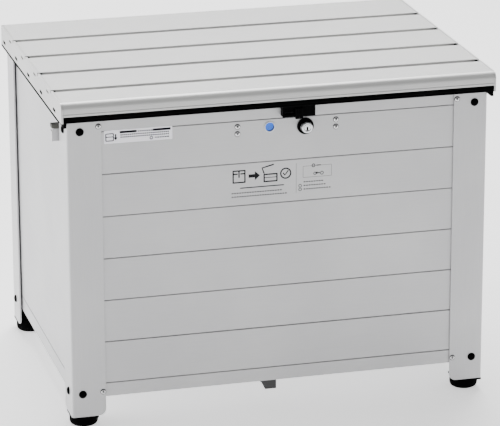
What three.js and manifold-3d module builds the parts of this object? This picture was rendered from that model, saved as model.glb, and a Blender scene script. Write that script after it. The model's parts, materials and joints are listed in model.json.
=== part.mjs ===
// Parcel drop box: an aluminium box on four corner posts, with a lift-up slatted lid,
// a thumb slide that shows a coloured flag, and a push lock that bolts the lid shut.
// Millimetres, +Z up, +X to the right seen from the front, +Y to the rear.
// The origin is the middle of the whole object's footprint, on the floor.

import * as THREE from 'three';
import { mergeVertices } from 'three/addons/utils/BufferGeometryUtils.js';
import Module from 'manifold-3d';

// ---------------------------------------------------------------- driving dimensions

// Body, over the outside of the corner posts
const bodyWidth = 593;
const bodyDepth = 433;
const gap = 0.3;                 // between pieces that touch
const past = 1;                  // how far a cutter or a joined block runs past a face
const turnedChamfer = 0.7;
const postFlange = 48;
const postWall = 2.4;
const postBottom = 16;
const postCornerRadius = 3;
const postToeRadius = 10;

// Walls of interlocking boards between two rails
const boardCount = 6;
const boardPitch = 60;
const boardBaseRise = 46.6;      // underside of the lowest board above the posts' toes
const boardDepth = 9;
const sheet = 1.8;
const seamChamfer = 0.5;
const seamGap = 0.9;              // open seam between two boards
const seamNotch = 1.3;            // depth of a seam pressed into one sheet
const tongueHeight = 2.5;
const tongueThickness = 1.8;
const tongueClearance = 0.7;
const frontWallBehindPost = 0.6; // wall faces behind the inner faces of the posts
const sideWallBehindPost = 2.4;
const wallEndClearance = 3.1;    // ends of the front and rear walls from the posts

// Rails
const frontRailRise = 26.4;      // undersides of the bottom rails above the posts' toes
const sideRailRise = 24;
const topRailHeight = 17.8;
const shelf = 22;                // inward leg of every rail
const floorSheet = 2;
const floorEdgeClearance = 1.5;

// Feet
const footRadius = 19.8;
const footInset = footRadius + 0.2;
const footEdgeRadius = 6;
const footEdgeSteps = 4;
const footPlate = 2.2;
const footPlateWidth = postFlange - postToeRadius - 0.5;
const footPlugWidth = 29;
const footPlugHeight = 20;

// Lid
const lidGap = 0.6;              // lid rim above the rails
const lidSideOverhang = 8.4;
const lidFrontOverhang = 12.3;
const lidRearSetback = 5;
const lidRimDepth = 9;           // rim below the planks
const plankThickness = 18.4;
const plankCount = 5;
const noseDepth = 73.9;          // the front plank
const plankWall = 1.5;
const plankEdgeRadius = 0.4;
const plankLip = 0.6;            // front edge above the shadow groove
const plankUndercut = 5;
const plankRearRadius = 1.5;
const plankGroove = 10.5;
const plankGrooveDepth = 9;
const noseRadius = 9.5;
const noseLip = 0.8;
const noseLipHeight = 2.6;
const endCapThickness = 2.8;
const stripDepth = 22;
const stripWall = 2.4;
const rearRailDepth = 20;
const sealClearance = 1.3;       // from the posts
const sealDrop = 6.4;            // below the rim of the lid
const sealInset = 7;             // ends of a side seal from the ends of the lid

// Hinges
const hingeWidth = 60;
const hingeInset = 106.5;        // middle of a hinge from the side of the body
const leafThickness = 1.5;
const lowerLeafHeight = 28;
const upperLeafDepth = 22;
const hingePinRadius = 1.85;
const hingePinClearance = 0.2;
const knuckleWall = 1.55;
const knuckleCount = 3;
const knuckleGap = 0.4;

// Push lock, in the top front board
const lockX = 36;
const lockTravel = 8;
const lockClearance = 0.3;
const bezelRim = 2.3;            // around the barrel
const bezelThickness = 3;
const barrelWall = 1.2;
const barrelEnd = 2;
const plungerRadius = 7.7;
const plungerWall = 2.8;         // around the key plug
const plungerProud = 8.6;       // in front of the bezel at rest
const plungerEndRoom = 0.5;
const boltRadius = 4.4;
const boltReach = 7.2;           // behind the barrel at rest
const boltEndRoom = 1.9;         // behind the bolt when it is pushed in
const keyPlugLength = 14;
const keyPlugSink = 0.4;
const keySlotWidth = 2.4;
const keySlotDepth = 10;
const keySlotBelow = 4;
const keySlotAbove = 1.6;
const nutRim = 1.7;              // around the barrel
const nutThickness = 3;

// Striker on the lid, which the bolt enters
const strikerWidth = 20;
const strikerThickness = 2.4;
const strikerSwingRoom = 5.4;    // behind the top rail's shelf
const strikerFromBolt = 2.5;     // ahead of the resting bolt
const strikerEyeClearance = 1.6;
const strikerTongue = 4.2;       // below the eye
const strikerFoot = 20;

// Indicator: thumb slide, flag and window
const windowX = -14.2;
const windowDrop = 29.4;         // below the top of the walls
const windowRadius = 6.4;
const windowFlange = 1.3;
const windowFlangeThickness = 1.1;
const windowChamfer = 0.4;
const windowClearance = 1;       // ahead of the flag
const slideTravel = 14;
const thumbX = 24.2;
const thumbWidth = 11;
const thumbBelowHousing = 2.3;
const thumbProud = 3.5;
const stemWidth = 7.6;
const stemHeight = 5;
const stemRise = 1.1;            // above the top rail's lower flange
const stemClearance = 0.6;
const flagThickness = 2;
const flagMargin = 1.8;          // flag around the window
const flagArmRise = 1.6;         // underside of the flag's arm above its halves
const housingWall = 3;
const housingEnd = 17;           // solid end beside the pocket
const housingDrop = 15;        // underside below the top of the walls
const housingProud = 10.5;
const housingPocket = 5.5;
const housingLip = 3;            // closes the pocket below
const housingCornerRadius = 1.5;
const housingRoof = 2;

// Lock case behind the front wall
const caseSheet = 1.5;
const caseLeftRoom = 14.1;       // beside the flag when it is slid across
const caseRightRoom = 24.5;      // beside the striker
const caseBelowStriker = 1.6;
const caseTopClearance = 1.1;    // under the top rail's shelf
const caseTab = 14;
const caseTabHeight = 24;

// Small brackets
const bracketX = -15.5;
const bracketWidth = 23;
const bracketDrop = 14;
const bracketThickness = 2.5;
const bracketFlange = 18;
const bracketSlant = 7;
const bracketSetback = 3.6;
const tabDrop = 25.5;            // below the top of the walls
const tabHeight = 17.5;
const tabThickness = 2;
const tabLength = 12;
const tabBehindPost = 10;
const tabCornerRadius = 4;
const padHeight = 5.5;

// ---------------------------------------------------------------- worked-out places

const halfWidth = bodyWidth / 2;
const halfDepth = bodyDepth / 2;
const frontRailBottom = postBottom + frontRailRise;
const sideRailBottom = postBottom + sideRailRise;
const boardBase = postBottom + boardBaseRise;
const boardFlangeRise = tongueHeight + tongueClearance;
const boardHeight = boardPitch - seamGap;
const wallHeight = boardCount * boardPitch;
const topRailBottom = boardBase + wallHeight;
const bodyTop = topRailBottom + topRailHeight;
const wallFace = halfDepth - postWall - frontWallBehindPost;   // front and rear, from the middle
const wallBack = wallFace - boardDepth;
const sideFace = halfWidth - postWall - sideWallBehindPost;
const sideBack = sideFace - boardDepth;
const wallHalfLength = halfWidth - postWall - wallEndClearance;
const sideWallHalfLength = wallBack - gap;
const sideRailHalfLength = wallFace - shelf - gap;
const boardFront = -wallFace;                      // outer face of the front wall

const rimZ = bodyTop + lidGap;
const plankBottom = rimZ + lidRimDepth;
const lidTop = plankBottom + plankThickness;
const lidHalfWidth = halfWidth + lidSideOverhang;
const lidFront = -halfDepth - lidFrontOverhang;
const lidRear = halfDepth - lidRearSetback;
const plankPitch = (lidRear - lidFront - noseDepth) / (plankCount - 1);
const plankHalfLength = lidHalfWidth - endCapThickness - gap;
const sealThickness = lidSideOverhang - endCapThickness - gap - sealClearance;

const knuckleRadius = hingePinRadius + hingePinClearance + knuckleWall;
const hingeCentre = halfWidth - hingeInset;
const lowerLeafFace = wallFace + gap;
const hingeY = lowerLeafFace + knuckleRadius;
const upperLeafZ = bodyTop + gap;
const hingeZ = upperLeafZ + knuckleRadius;
const rearRailZ = upperLeafZ + leafThickness + gap;

// The lock is laid out from the striker, which has to swing past the top rail's shelf.
const boreRadius = plungerRadius + lockClearance;
const barrelRadius = boreRadius + barrelWall;
const bezelRadius = barrelRadius + bezelRim;
const nutRadius = barrelRadius + nutRim;
const keyPlugRadius = plungerRadius - plungerWall - lockClearance;
const topBoardFlange = boardBase + wallHeight - seamGap - sheet;   // underside of its top flange
const lockZ = topBoardFlange - gap - nutRadius;
const strikerFront = boardFront + shelf + strikerSwingRoom;
const strikerBack = strikerFront + strikerThickness;
const strikerEye = 2 * (boltRadius + strikerEyeClearance);
const strikerBottom = lockZ - strikerEye / 2 - strikerTongue;
const boltTip = strikerFront - strikerFromBolt;
const barrelBack = boltTip - boltReach;
const bezelBack = boardFront - gap;
const bezelFront = bezelBack - bezelThickness;
const plungerFront = bezelFront - plungerProud;
const plungerBack = barrelBack - barrelEnd - lockTravel - plungerEndRoom;

const windowZ = bodyTop - windowDrop;
const flagHalf = windowRadius + flagMargin;
const flagLeft = windowX - flagHalf;
const flagRight = windowX + slideTravel + flagHalf;
const flagBottom = windowZ - flagHalf;
const flagArmBottom = windowZ + flagHalf + flagArmRise;
const flagFront = gap - wallBack;

const thumbLeft = thumbX - thumbWidth / 2;
const thumbRight = thumbX + thumbWidth / 2;
const stemBottom = topRailBottom + boardFlangeRise + sheet + stemRise;
const stemTop = stemBottom + stemHeight;
const housingBack = boardFront - gap;
const housingFront = housingBack - housingProud;
const housingTop = bodyTop - gap;
const housingBottom = bodyTop - housingDrop;
const housingLeft = thumbLeft - slideTravel - stemClearance - housingWall;
const housingRight = thumbRight + stemClearance + housingEnd;
const pocketBack = housingFront + housingPocket;
const pocketTop = housingTop - housingRoof;
const pocketBottom = housingBottom + housingLip;

const caseFront = gap - wallBack;
const caseBack = boltTip + lockTravel + boltEndRoom + caseSheet;
const caseBottom = strikerBottom - caseBelowStriker - caseSheet;
const caseTop = bodyTop - sheet - caseTopClearance;
const caseLeft = flagLeft - slideTravel - caseLeftRoom - caseSheet;
const caseRight = lockX + strikerWidth / 2 + caseRightRoom + caseSheet;
const flagTop = caseTop - caseTopClearance;

// The whole object runs from the lid's nose to the hinge knuckles.
const wholeRear = hingeY + knuckleRadius;
const originShift = -(lidFront + wholeRear) / 2;

// ---------------------------------------------------------------- materials

function material(color, roughness, metalness) {
  return new THREE.MeshStandardMaterial({ color, roughness, metalness });
}

const silver = material(0xc9cac9, 0.45, 0.6);
const silverLid = material(0xd6d6d3, 0.45, 0.6);
const black = material(0x17171a, 0.55, 0.0);
const rubber = material(0x101012, 0.85, 0.0);
const steel = material(0xa8aaad, 0.35, 1.0);
const chrome = material(0xe4e6ea, 0.12, 1.0);
const clear = material(0xbcd6f2, 0.1, 0.0);
const blue = material(0x3f84d8, 0.4, 0.0);
const darkSteel = material(0x2c2d30, 0.5, 0.4);

// ---------------------------------------------------------------- solids

const wasm = await Module();
wasm.setup();

function solid(geometry) {
  const plain = geometry.index ? geometry.toNonIndexed() : geometry.clone();
  plain.deleteAttribute('normal');
  plain.deleteAttribute('uv');
  const merged = mergeVertices(plain, 1e-4);
  return new wasm.Manifold(new wasm.Mesh({
    numProp: 3,
    vertProperties: new Float32Array(merged.attributes.position.array),
    triVerts: new Uint32Array(merged.index.array),
  }));
}

function toGeometry(manifold) {
  const mesh = manifold.getMesh();
  const geometry = new THREE.BufferGeometry();
  geometry.setAttribute('position', new THREE.BufferAttribute(mesh.vertProperties, 3));
  geometry.setIndex(new THREE.BufferAttribute(mesh.triVerts, 1));
  return geometry;
}

function join(first, ...others) {
  return toGeometry(others.reduce((sum, other) => sum.add(solid(other)), solid(first)));
}

function cut(first, ...tools) {
  return toGeometry(tools.reduce((rest, tool) => rest.subtract(solid(tool)), solid(first)));
}

function block(x0, x1, y0, y1, z0, z1) {
  const geometry = new THREE.BoxGeometry(x1 - x0, y1 - y0, z1 - z0);
  return geometry.translate((x0 + x1) / 2, (y0 + y1) / 2, (z0 + z1) / 2);
}

// The three extrusions take an outline in the plane across their axis.
const alongX = new THREE.Matrix4().makeBasis(
  new THREE.Vector3(0, 1, 0), new THREE.Vector3(0, 0, 1), new THREE.Vector3(1, 0, 0));
const alongY = new THREE.Matrix4().makeBasis(
  new THREE.Vector3(1, 0, 0), new THREE.Vector3(0, 0, 1), new THREE.Vector3(0, -1, 0));

function extrude(shape, length, curveSegments = 4) {
  return new THREE.ExtrudeGeometry(shape, { depth: length, bevelEnabled: false, curveSegments });
}

function extrudeX(shapeYZ, x0, x1) {
  return extrude(shapeYZ, x1 - x0).applyMatrix4(alongX).translate(x0, 0, 0);
}

function extrudeY(shapeXZ, y0, y1) {
  return extrude(shapeXZ, y1 - y0).applyMatrix4(alongY).translate(0, y1, 0);
}

function extrudeZ(shapeXY, z0, z1) {
  return extrude(shapeXY, z1 - z0).translate(0, 0, z0);
}

function polygon(points) {
  return new THREE.Shape(points.map(([a, b]) => new THREE.Vector2(a, b)));
}

// A solid of revolution about a line along Y: each point is [radius, y].
function turnedY(points, x, z, segments = 32) {
  const profile = points.map(([radius, y]) => new THREE.Vector2(radius, y));
  return new THREE.LatheGeometry(profile, segments).translate(x, 0, z);
}

function rodY(radius, y0, y1, x, z, segments = 32) {
  return new THREE.CylinderGeometry(radius, radius, y1 - y0, segments)
    .translate(x, (y0 + y1) / 2, z);
}

function rodX(radius, x0, x1, y, z, segments = 20) {
  return new THREE.CylinderGeometry(radius, radius, x1 - x0, segments)
    .rotateZ(Math.PI / 2).translate((x0 + x1) / 2, y, z);
}

// A mirror image, with its triangles turned round again so that they still face out.
function mirrored(geometry, x, y) {
  const image = geometry.index ? geometry.toNonIndexed() : geometry.clone();
  image.scale(x, y, 1);
  if (x * y > 0) return image;
  const position = image.attributes.position;
  for (let i = 0; i < position.count; i += 3) {
    const a = new THREE.Vector3().fromBufferAttribute(position, i);
    const b = new THREE.Vector3().fromBufferAttribute(position, i + 1);
    position.setXYZ(i, b.x, b.y, b.z);
    position.setXYZ(i + 1, a.x, a.y, a.z);
  }
  return image;
}

const box = new THREE.Group();
box.position.y = originShift;

function add(name, geometry, finish) {
  const mesh = new THREE.Mesh(geometry, finish);
  mesh.name = name;
  box.add(mesh);
}

// ---------------------------------------------------------------- corner posts and feet

const corners = [
  ['front_left', -1, -1],
  ['front_right', 1, -1],
  ['rear_left', -1, 1],
  ['rear_right', 1, 1],
];

// An angle with a rounded outer edge, standing at the front left corner.
function cornerPost() {
  const outline = new THREE.Shape();
  outline.moveTo(0, postFlange);
  outline.lineTo(0, postCornerRadius);
  outline.absarc(postCornerRadius, postCornerRadius, postCornerRadius, Math.PI, 1.5 * Math.PI);
  outline.lineTo(postFlange, 0);
  outline.lineTo(postFlange, postWall);
  outline.lineTo(postWall, postWall);
  outline.lineTo(postWall, postFlange);
  const angle = extrudeZ(outline, postBottom, bodyTop);
  angle.translate(-halfWidth, -halfDepth, 0);
  const reach = 2 * postWall;
  const frontToe = extrudeY(toeCorner(postFlange - halfWidth), -halfDepth - reach, reach - halfDepth);
  const sideToe = extrudeX(toeCorner(postFlange - halfDepth), -halfWidth - reach, reach - halfWidth);
  return cut(angle, frontToe, sideToe);
}

// What a rounded lower corner takes off a flange that ends at a given edge.
function toeCorner(edge) {
  const r = postToeRadius;
  const shape = new THREE.Shape();
  shape.moveTo(edge - r, postBottom);
  shape.lineTo(edge - r, postBottom - past);
  shape.lineTo(edge + past, postBottom - past);
  shape.lineTo(edge + past, postBottom + r);
  shape.lineTo(edge, postBottom + r);
  shape.absarc(edge - r, postBottom + r, r, 0, -Math.PI / 2, true);
  return shape;
}

// A moulded foot: a round pad, a thin plate under the post and a plug inside its angle.
function foot() {
  const flat = footRadius - footEdgeRadius;
  const plateTop = postBottom - gap;
  const plateBottom = plateTop - footPlate;
  const padTop = plateTop - footPlate / 2;
  const outline = [new THREE.Vector2(0, 0), new THREE.Vector2(flat, 0)];
  for (let step = 1; step <= footEdgeSteps; step += 1) {
    const turn = (step / footEdgeSteps) * (Math.PI / 2);
    outline.push(new THREE.Vector2(
      flat + footEdgeRadius * Math.sin(turn), footEdgeRadius * (1 - Math.cos(turn))));
  }
  outline.push(new THREE.Vector2(footRadius, padTop), new THREE.Vector2(0, padTop));
  const pad = new THREE.LatheGeometry(outline, 36).rotateX(Math.PI / 2);
  pad.translate(-halfWidth + footInset, -halfDepth + footInset, 0);
  const inner = postWall + gap;
  const plate = block(-halfWidth, -halfWidth + footPlateWidth,
    -halfDepth, -halfDepth + footPlateWidth, plateBottom, plateTop);
  const plug = block(-halfWidth + inner, -halfWidth + inner + footPlugWidth,
    -halfDepth + inner, -halfDepth + inner + footPlugWidth,
    padTop, postBottom + footPlugHeight);
  return join(pad, plate, plug);
}

const post = cornerPost();
const footPiece = foot();
for (const [place, x, y] of corners) {
  add(`corner_post_${place}`, mirrored(post, -x, -y), silver);
  add(`foot_${place}`, mirrored(footPiece, -x, -y), rubber);
}

// ---------------------------------------------------------------- walls and rails

// Outlines run across a wall: the first number goes inward from its outer face at 0,
// the second goes up. Each board has a chamfered face, two flanges and a tongue.
function tongueTop(height) {
  const front = sheet + gap;
  return [
    [boardDepth, height], [front + tongueThickness, height],
    [front + tongueThickness, height + tongueHeight], [front, height + tongueHeight],
    [front, height], [seamChamfer, height], [0, height - seamChamfer],
  ];
}

function grooveBottom() {
  const rise = boardFlangeRise;
  return [
    [0, seamChamfer], [seamChamfer, 0], [sheet, 0], [sheet, rise], [boardDepth, rise],
    [boardDepth, rise + sheet], [sheet, rise + sheet],
  ];
}

function boardOutline() {
  const h = boardHeight;
  return [...grooveBottom(), [sheet, h - sheet], [boardDepth, h - sheet], ...tongueTop(h)];
}

function bottomRailOutline(height) {
  return [
    [0, 0], [shelf, 0], [shelf, sheet], [sheet, sheet], [sheet, height - sheet],
    [boardDepth, height - sheet], ...tongueTop(height),
  ];
}

function topRailOutline() {
  const h = topRailHeight;
  return [...grooveBottom(), [sheet, h - sheet], [shelf, h - sheet], [shelf, h], [0, h]];
}

// A wall in one sheet, with ribs behind it at the board pitch. A pressed one has seams too.
function sheetWallOutline(isPressed) {
  const h = wallHeight - seamGap;
  const ribs = [];
  const notches = [];
  for (let seam = 1; seam < boardCount; seam += 1) {
    const high = seam * boardPitch;
    const low = high - seamGap;
    ribs.push([sheet, low - sheet], [boardDepth, low - sheet], [boardDepth, high], [sheet, high]);
    if (isPressed) {
      notches.unshift([0, high + seamChamfer], [seamChamfer, high], [seamNotch, high],
        [seamNotch, low], [seamChamfer, low], [0, low - seamChamfer]);
    }
  }
  return [...grooveBottom(), ...ribs, [sheet, h - sheet], [boardDepth, h - sheet],
    ...tongueTop(h), ...notches];
}

// Places an outline on one of the four walls, as an extrusion of a given half length.
function onWall(outline, side, base, halfLength) {
  const up = ([depth, z]) => [depth, z + base];
  if (side === 'front' || side === 'rear') {
    const shape = polygon(outline.map(up).map(([depth, z]) => [depth - wallFace, z]));
    const wall = extrudeX(shape, -halfLength, halfLength);
    return side === 'front' ? wall : mirrored(wall, 1, -1);
  }
  const shape = polygon(outline.map(up).map(([depth, z]) => [depth - sideFace, z]));
  const wall = extrudeY(shape, -halfLength, halfLength);
  return side === 'left' ? wall : mirrored(wall, -1, 1);
}

const endWalls = { front: wallHalfLength, rear: wallHalfLength };
const sideWalls = { left: sideRailHalfLength, right: sideRailHalfLength };

for (const [side, halfLength] of Object.entries({ ...endWalls, ...sideWalls })) {
  const base = side in endWalls ? frontRailBottom : sideRailBottom;
  const bottomRail = bottomRailOutline(boardBase - seamGap - base);
  add(`bottom_rail_${side}`, onWall(bottomRail, side, base, halfLength), silver);
  const topRail = onWall(topRailOutline(), side, topRailBottom, halfLength);
  const slot = block(thumbX - stemWidth / 2 - slideTravel - stemClearance,
    thumbX + stemWidth / 2 + stemClearance, boardFront - sheet, boardFront + 2 * sheet,
    stemBottom - stemClearance, stemTop + stemClearance);
  add(`top_rail_${side}`, side === 'front' ? cut(topRail, slot) : topRail, silver);
}

for (let number = 1; number <= boardCount; number += 1) {
  const base = boardBase + (number - 1) * boardPitch;
  const board = onWall(boardOutline(), 'front', base, wallHalfLength);
  const lockHole = rodY(barrelRadius + lockClearance, boardFront - sheet,
    boardFront + 2 * sheet, lockX, lockZ);
  const windowHole = rodY(windowRadius + lockClearance, boardFront - sheet,
    boardFront + 2 * sheet, windowX, windowZ);
  const pierced = number === boardCount ? cut(board, lockHole, windowHole) : board;
  add(`front_board_${number}`, pierced, silver);
}

const plain = sheetWallOutline(false);
add('rear_panel', onWall(sheetWallOutline(true), 'rear', boardBase, wallHalfLength), silver);
add('side_panel_left', onWall(plain, 'left', boardBase, sideWallHalfLength), silver);
add('side_panel_right', onWall(plain, 'right', boardBase, sideWallHalfLength), silver);

const floorBottom = frontRailBottom + sheet + gap;
const floorHalfWidth = sideBack - floorEdgeClearance;
const floorHalfDepth = wallBack - floorEdgeClearance;
add('floor_panel', block(-floorHalfWidth, floorHalfWidth, -floorHalfDepth, floorHalfDepth,
  floorBottom, floorBottom + floorSheet), silver);

// ---------------------------------------------------------------- lid

// A hollow plank. Behind it lies the floor of the groove, and its front edge is a thin lip
// over an undercut, so that the groove stays in shadow.
function plank(front, rear, isNose, hasGroove) {
  const body = hasGroove ? rear - plankGroove : rear;
  const radius = isNose ? noseRadius : plankEdgeRadius;
  const face = isNose ? front + noseLip : front;
  const shape = new THREE.Shape();
  shape.moveTo(front, plankBottom);
  shape.lineTo(body, plankBottom);
  if (hasGroove) {
    const grooveTop = lidTop - plankGrooveDepth;
    shape.lineTo(body, grooveTop - plankWall);
    shape.lineTo(rear - gap, grooveTop - plankWall);
    shape.lineTo(rear - gap, grooveTop);
    shape.lineTo(body, grooveTop);
  }
  shape.lineTo(body, lidTop - plankRearRadius);
  shape.absarc(body - plankRearRadius, lidTop - plankRearRadius, plankRearRadius, 0, Math.PI / 2);
  shape.lineTo(face + radius, lidTop);
  shape.absarc(face + radius, lidTop - radius, radius, Math.PI / 2, Math.PI);
  if (isNose) {
    shape.lineTo(face, plankBottom + noseLipHeight + noseLip);
    shape.lineTo(front, plankBottom + noseLipHeight);
  } else {
    const step = lidTop - plankGrooveDepth - plankWall;
    shape.lineTo(front, lidTop - plankLip);
    shape.lineTo(front + plankUndercut, lidTop - plankLip - plankWall);
    shape.lineTo(front + plankUndercut, step);
    shape.lineTo(front, step);
  }
  const wall = plankWall + (isNose ? 0 : plankUndercut);
  const inner = Math.max(radius, wall + 1);
  const ceiling = lidTop - plankWall - (isNose ? 0 : plankLip + plankWall);
  const hollow = [
    [face + wall, plankBottom + plankWall], [body - plankWall, plankBottom + plankWall],
    [body - plankWall, lidTop - plankWall], [face + inner + plankWall, lidTop - plankWall],
    [face + wall, Math.min(ceiling, lidTop - radius)],
  ];
  shape.holes.push(new THREE.Path(hollow.map(([y, z]) => new THREE.Vector2(y, z))));
  return extrudeX(shape, -plankHalfLength, plankHalfLength);
}

for (let number = 1; number <= plankCount; number += 1) {
  const rear = lidRear - (plankCount - number) * plankPitch;
  const front = number === 1 ? lidFront : rear - plankPitch;
  add(`lid_plank_${number}`, plank(front, rear, number === 1, number < plankCount), silverLid);
}

// A side plate of the lid, shaped like the end of the nose plank at its front.
function endCap() {
  const face = lidFront + noseLip;
  const shape = new THREE.Shape();
  shape.moveTo(face, rimZ);
  shape.lineTo(lidRear, rimZ);
  shape.lineTo(lidRear, lidTop);
  shape.lineTo(face + noseRadius, lidTop);
  shape.absarc(face + noseRadius, lidTop - noseRadius, noseRadius, Math.PI / 2, Math.PI);
  return extrudeX(shape, -lidHalfWidth, -lidHalfWidth + endCapThickness);
}

const cap = endCap();
add('lid_end_cap_left', cap, silverLid);
add('lid_end_cap_right', mirrored(cap, -1, 1), silverLid);

// The dark strip under the nose: a face and a web against the plank above.
const stripTop = plankBottom - gap;
const stripFront = lidFront + gap;
add('lid_front_strip', extrudeX(polygon([
  [stripFront, rimZ], [stripFront + stripWall, rimZ],
  [stripFront + stripWall, stripTop - stripWall],
  [stripFront + stripDepth, stripTop - stripWall],
  [stripFront + stripDepth, stripTop], [stripFront, stripTop],
]), -plankHalfLength, plankHalfLength), black);

add('lid_rear_rail', block(-plankHalfLength, plankHalfLength,
  lidRear - rearRailDepth, lidRear, rearRailZ, plankBottom - gap), silverLid);

// Side seals hang inside the end caps and close the gap above the side walls.
function sideSeal() {
  const outer = -lidHalfWidth + endCapThickness + gap;
  return block(outer, outer + sealThickness, stripFront + stripDepth + gap,
    lidRear - rearRailDepth - sealInset, rimZ - sealDrop, plankBottom - gap);
}

const seal = sideSeal();
add('lid_side_seal_left', seal, rubber);
add('lid_side_seal_right', mirrored(seal, -1, 1), rubber);

// The striker plate drops behind the lock, with a square eye for the bolt.
const strikerTop = plankBottom - gap;
const strikerLeft = lockX - strikerWidth / 2;
const strikerRight = lockX + strikerWidth / 2;
add('lid_striker', cut(
  extrudeX(polygon([
    [strikerFront, strikerBottom], [strikerBack, strikerBottom],
    [strikerBack, strikerTop - strikerThickness],
    [strikerFront + strikerFoot, strikerTop - strikerThickness],
    [strikerFront + strikerFoot, strikerTop], [strikerFront, strikerTop],
  ]), strikerLeft, strikerRight),
  block(lockX - strikerEye / 2, lockX + strikerEye / 2, strikerFront - past, strikerBack + past,
    lockZ - strikerEye / 2, lockZ + strikerEye / 2),
), steel);

// ---------------------------------------------------------------- hinges

// A knuckle is a short tube on the hinge line.
function knuckle(index, centre) {
  const length = hingeWidth / knuckleCount;
  const left = centre - hingeWidth / 2 + index * length + knuckleGap / 2;
  const right = left + length - knuckleGap;
  return { left, right, tube: rodX(knuckleRadius, left, right, hingeY, hingeZ) };
}

function hingeBore(centre) {
  const reach = hingeWidth / 2 + past;
  return rodX(hingePinRadius + hingePinClearance, centre - reach, centre + reach, hingeY, hingeZ);
}

// The lower leaf stands on the rear top rail and carries the outer knuckles.
function lowerLeaf(centre) {
  const pieces = [block(centre - hingeWidth / 2, centre + hingeWidth / 2,
    lowerLeafFace, lowerLeafFace + leafThickness, bodyTop - lowerLeafHeight, bodyTop - gap)];
  for (let index = 0; index < knuckleCount; index += 2) {
    const { left, right, tube } = knuckle(index, centre);
    pieces.push(tube, block(left, right, lowerLeafFace, lowerLeafFace + leafThickness,
      bodyTop - past, hingeZ));
  }
  return cut(join(...pieces), hingeBore(centre));
}

// The upper leaf lies under the lid's rear rail and carries the middle knuckles.
function upperLeaf(centre) {
  const leafRear = lowerLeafFace - gap;
  const pieces = [block(centre - hingeWidth / 2, centre + hingeWidth / 2,
    leafRear - upperLeafDepth, leafRear, upperLeafZ, upperLeafZ + leafThickness)];
  for (let index = 1; index < knuckleCount; index += 2) {
    const { left, right, tube } = knuckle(index, centre);
    pieces.push(tube, block(left, right, leafRear - past, hingeY,
      upperLeafZ, upperLeafZ + leafThickness));
  }
  return cut(join(...pieces), hingeBore(centre));
}

for (const [side, centre] of [['left', -hingeCentre], ['right', hingeCentre]]) {
  add(`hinge_lower_leaf_${side}`, lowerLeaf(centre), steel);
  add(`hinge_upper_leaf_${side}`, upperLeaf(centre), steel);
  add(`hinge_pin_${side}`, rodX(hingePinRadius, centre - hingeWidth / 2,
    centre + hingeWidth / 2, hingeY, hingeZ), steel);
}

// ---------------------------------------------------------------- push lock

add('lock_barrel', turnedY([
  [boreRadius, bezelFront], [bezelRadius - turnedChamfer, bezelFront],
  [bezelRadius, bezelFront + turnedChamfer],
  [bezelRadius, bezelBack], [barrelRadius, bezelBack], [barrelRadius, barrelBack],
  [boltRadius + lockClearance, barrelBack],
  [boltRadius + lockClearance, barrelBack - barrelEnd],
  [boreRadius, barrelBack - barrelEnd], [boreRadius, bezelFront],
], lockX, lockZ), black);

const nutFront = boardFront + sheet + gap;
add('lock_nut', turnedY([
  [barrelRadius + gap, nutFront], [nutRadius, nutFront],
  [nutRadius, nutFront + nutThickness], [barrelRadius + gap, nutFront + nutThickness],
  [barrelRadius + gap, nutFront],
], lockX, lockZ, 24), steel);

// The plunger is bored from the front for the key plug.
const plugBore = keyPlugRadius + lockClearance;
const plugBack = plungerFront + keyPlugSink + keyPlugLength;
add('lock_plunger', turnedY([
  [plugBore, plungerFront], [plungerRadius - turnedChamfer, plungerFront],
  [plungerRadius, plungerFront + turnedChamfer], [plungerRadius, plungerBack],
  [0, plungerBack], [0, plugBack + gap], [plugBore, plugBack + gap],
  [plugBore, plungerFront],
], lockX, lockZ), chrome);

add('lock_key_plug', cut(
  rodY(keyPlugRadius, plungerFront + keyPlugSink, plugBack, lockX, lockZ),
  block(lockX - keySlotWidth / 2, lockX + keySlotWidth / 2,
    plungerFront - past, plungerFront + keySlotDepth,
    lockZ - keySlotBelow, lockZ + keySlotAbove),
), chrome);

add('lock_bolt', rodY(boltRadius, plungerBack + gap, boltTip, lockX, lockZ), steel);

// ---------------------------------------------------------------- indicator

const windowFront = bezelBack - windowFlangeThickness;
const windowBack = -wallBack - windowClearance;
const windowRim = windowRadius + windowFlange;
add('indicator_window', turnedY([
  [0, windowFront], [windowRim - windowChamfer, windowFront],
  [windowRim, windowFront + windowChamfer], [windowRim, bezelBack],
  [windowRadius, bezelBack], [windowRadius, windowBack], [0, windowBack],
], windowX, windowZ), clear);

// Thumb piece: a plate in front of the housing, a block in its pocket and a stem through
// the top rail.
add('thumb_slide', join(
  block(thumbLeft, thumbRight, housingFront - thumbProud, housingFront - gap,
    housingBottom - thumbBelowHousing, pocketTop - gap),
  block(thumbLeft, thumbRight, housingFront - past, pocketBack - gap,
    pocketBottom + gap, pocketTop - gap),
  block(thumbX - stemWidth / 2, thumbX + stemWidth / 2, pocketBack - past, flagFront - gap,
    stemBottom, stemTop),
), black);

// The flag hangs from the stem and shows one half or the other behind the window.
add('indicator_flag', extrudeY(polygon([
  [flagLeft, flagBottom], [flagRight, flagBottom], [flagRight, flagArmBottom],
  [thumbRight, flagArmBottom], [thumbRight, flagTop], [flagLeft, flagTop],
]), flagFront, flagFront + flagThickness), blue);

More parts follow.
